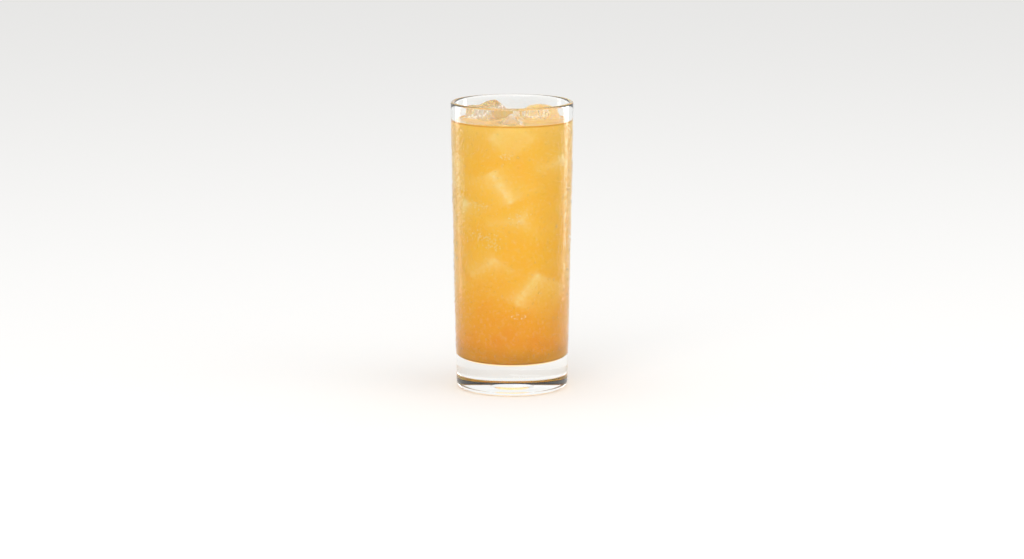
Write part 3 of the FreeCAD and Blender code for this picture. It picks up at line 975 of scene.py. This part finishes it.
def air_material(name, colour, metallic, roughness):
    """Air in ice or juice: silvery, as it throws back what is round it, with a little unevenness."""
    material, nodes, links, shader, _ = plain_nodes(name)
    give(shader, {"Metallic": metallic, "Specular IOR Level": 0.15, "Roughness": roughness})
    tone = bump(nodes, links, shader, 1500.0, 0.03 * MM)
    darker = tuple(0.9 * part for part in colour) + (1.0,)
    links.new(two_tones(nodes, links, tone, darker, (*colour, 1.0)), shader.inputs["Base Color"])
    return material


def frozen_bubbles(draw):
    """Places and radii of the bubbles in the floating ice: cloudy cores, and a frosty patch on the right."""
    places, radii = [], []
    for rotation, middle, half, _ in floating_cubes:
        core = draw.normal(size=(CORE_BUBBLES, 3)) * half * CORE_SPREAD
        places.append(core @ rotation.T + middle)
        radii.append(draw.uniform(*CORE_RADII, CORE_BUBBLES) * MM)
    cube, lying = clear_cubes["ice_cube_right"]
    normals = vectors_of(cube.data.vertex_normals, "vector")
    ring = oval_ring(lying)
    in_front = normals[:, 1] < -PATCH_FACING
    likely = np.where(ring < PATCH_RINGS[0], PATCH_MIDDLE, 1.0) * (ring < PATCH_RINGS[1]) * in_front
    chosen = draw.choice(len(lying), PATCH_BUBBLES, p=likely / likely.sum())
    size = draw.uniform(*PATCH_RADII, PATCH_BUBBLES) * MM
    places.append(lying[chosen] - normals[chosen] * (size + PATCH_DEPTH)[:, None])
    radii.append(size)
    return np.concatenate(places), np.concatenate(radii)


def on_cylinder(radius, turns, heights):
    """Points (r sin a, -r cos a, z) at turns a from the front."""
    return np.stack([radius * np.sin(turns), -radius * np.cos(turns), heights], 1)


def wall_bubbles(draw):
    """Places and radii of bubbles in the juice against the glass: in loose clusters, and one faint ring."""
    turns, heights = [], []
    for turn, height, wide, tall, count in WALL_CLUSTERS:
        radius = inner_radius(height * MM)
        turns.append(math.radians(turn) + draw.normal(size=count) * wide * MM / radius)
        heights.append(height * MM + draw.normal(size=count) * tall * MM)
    turn, height, wide, tall, count = RING
    angle = np.linspace(0, 2 * math.pi, count, endpoint=False) + draw.normal(size=count) * RING_STRAY
    turns.append(math.radians(turn) + wide * np.cos(angle) / inner_radius(height * MM))
    heights.append(height * MM + tall * np.sin(angle))
    turns, heights = np.concatenate(turns), np.concatenate(heights)
    radii = draw.uniform(*WALL_RADII, len(turns)) * MM
    return on_cylinder(inner_radius(heights) + INTO_GLASS - WALL_SINK * radii, turns, heights), radii


def floating_bubbles(draw):
    """Places and radii of bubbles on the surface, most of them close to the ice or to the wall."""
    from_ice, from_wall, from_either = FROTH_ROOM
    tried = draw.uniform(-1, 1, (FROTH_TRIES, 2)) * (inner_radius(LEVEL) - FROTH_MARGIN)
    flat = np.concatenate([tried, np.full((len(tried), 1), LEVEL)], 1)
    away = np.min([cube_distance(flat, cube) for cube in floating_cubes], axis=0)
    by_wall = inner_radius(LEVEL) - np.hypot(tried[:, 0], tried[:, 1])
    fit = (away > from_ice) & (by_wall > from_wall) & (np.minimum(away, by_wall) < from_either)
    chosen = flat[fit][:FROTH]
    radii = draw.uniform(*FROTH_RADII, len(chosen)) * MM
    chosen[:, 2] = surface_height(chosen) + FROTH_RISE * radii
    return chosen, radii


air_chance = np.random.default_rng(11)
frozen = bubbles("frozen_bubbles", *frozen_bubbles(air_chance))
frozen.data.materials.append(air_material("frozen_air", FROZEN_AIR, 0.55, 0.12))
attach(frozen, "root")
caught = bubbles("wall_bubbles", *wall_bubbles(air_chance))
caught.data.materials.append(air_material("air_in_juice", AIR_IN_JUICE, 0.0, 0.3))
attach(caught, "root")
froth = bubbles("surface_bubbles", *floating_bubbles(air_chance))
froth.data.materials.append(clear_material("bubble_skin", BUBBLE_SKIN, JUICE_IOR, 0.02, 300.0, 0.01 * MM))
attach(froth, "root")


# ---------------------------------------------------------------------------------------------
# The condensation: fine beads of water all over the cold outside of the glass, up to the drink's
# level, thicker on the sides, with some larger ones that have run together.
DROP_HEIGHTS = (21 * MM, 139 * MM)
DROPS = 3600
DROP_TURN, DROP_SPREAD = math.radians(84), math.radians(38)  # from the front, to each side
DROP_RADII = (0.16, 0.40)  # mm
LARGE_DROPS = [
    # turn from the front and height of the middle, spread round and up (mm), how many
    (-92.0, 130.0, 2.0, 2.0, 7),
    (-91.0, 103.0, 2.0, 4.0, 14),
    (-92.0, 55.0, 2.5, 12.0, 26),
    (91.0, 115.0, 2.0, 4.0, 12),
    (-70.0, 80.0, 6.0, 20.0, 30),
    (72.0, 90.0, 6.0, 25.0, 46),
    (180.0, 85.0, 40.0, 30.0, 90),
]
LARGE_RADII = (0.40, 0.72)  # mm
DROP_RISE = 0.7  # of its radius
DROP_SINK = 0.03 * MM  # into the glass
RIM_MARGIN = 0.02 * MM  # that every bead stays within the rim's radius
DROP_STEPS = 2
DROP_FOOT = 0.05  # of a ball's lower half, left under the bead
WATER_IOR = 1.33


def bead():
    """A bead of water: a ball of radius one with its lower half pressed almost flat."""
    points, faces = ball(DROP_STEPS)
    points[:, 2] = np.where(points[:, 2] < 0, DROP_FOOT * points[:, 2], points[:, 2])
    return points, faces


def outward_frames(turns):
    """For each turn from the front: the directions round, up and outwards, as the columns of a matrix."""
    zero, one = np.zeros_like(turns), np.ones_like(turns)
    along = np.stack([np.cos(turns), np.sin(turns), zero], 1)
    up = np.stack([zero, zero, one], 1)
    out = np.stack([np.sin(turns), -np.cos(turns), zero], 1)
    return np.stack([along, up, out], 2)


def condensation(draw):
    """Turns, heights and radii of the beads: small ones everywhere, more on the sides, and the large."""
    turns = [draw.choice([-1.0, 1.0], DROPS) * draw.normal(DROP_TURN, DROP_SPREAD, DROPS)]
    heights = [draw.uniform(*DROP_HEIGHTS, DROPS)]
    radii = [draw.uniform(*DROP_RADII, DROPS) * MM]
    for turn, height, wide, tall, count in LARGE_DROPS:
        turns.append(math.radians(turn) + draw.normal(size=count) * wide * MM / outer_radius(height * MM))
        heights.append(np.clip(height * MM + draw.normal(size=count) * tall * MM, *DROP_HEIGHTS))
        radii.append(draw.uniform(*LARGE_RADII, count) * MM)
    return np.concatenate(turns), np.concatenate(heights), np.concatenate(radii)


turns, heights, radii = condensation(np.random.default_rng(23))
wall = outer_radius(heights) - DROP_SINK
rise = np.minimum(DROP_RISE * radii + DROP_SINK, RIM_RADIUS - RIM_MARGIN - wall)
sizes = np.stack([radii, radii, rise], 1)
beads = scatter("condensation", *bead(), on_cylinder(wall, turns, heights), sizes, outward_frames(turns))
beads.data.materials.append(clear_material("water", WHITE, WATER_IOR, 0.0, 900.0, 0.01 * MM))
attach(beads, "root")
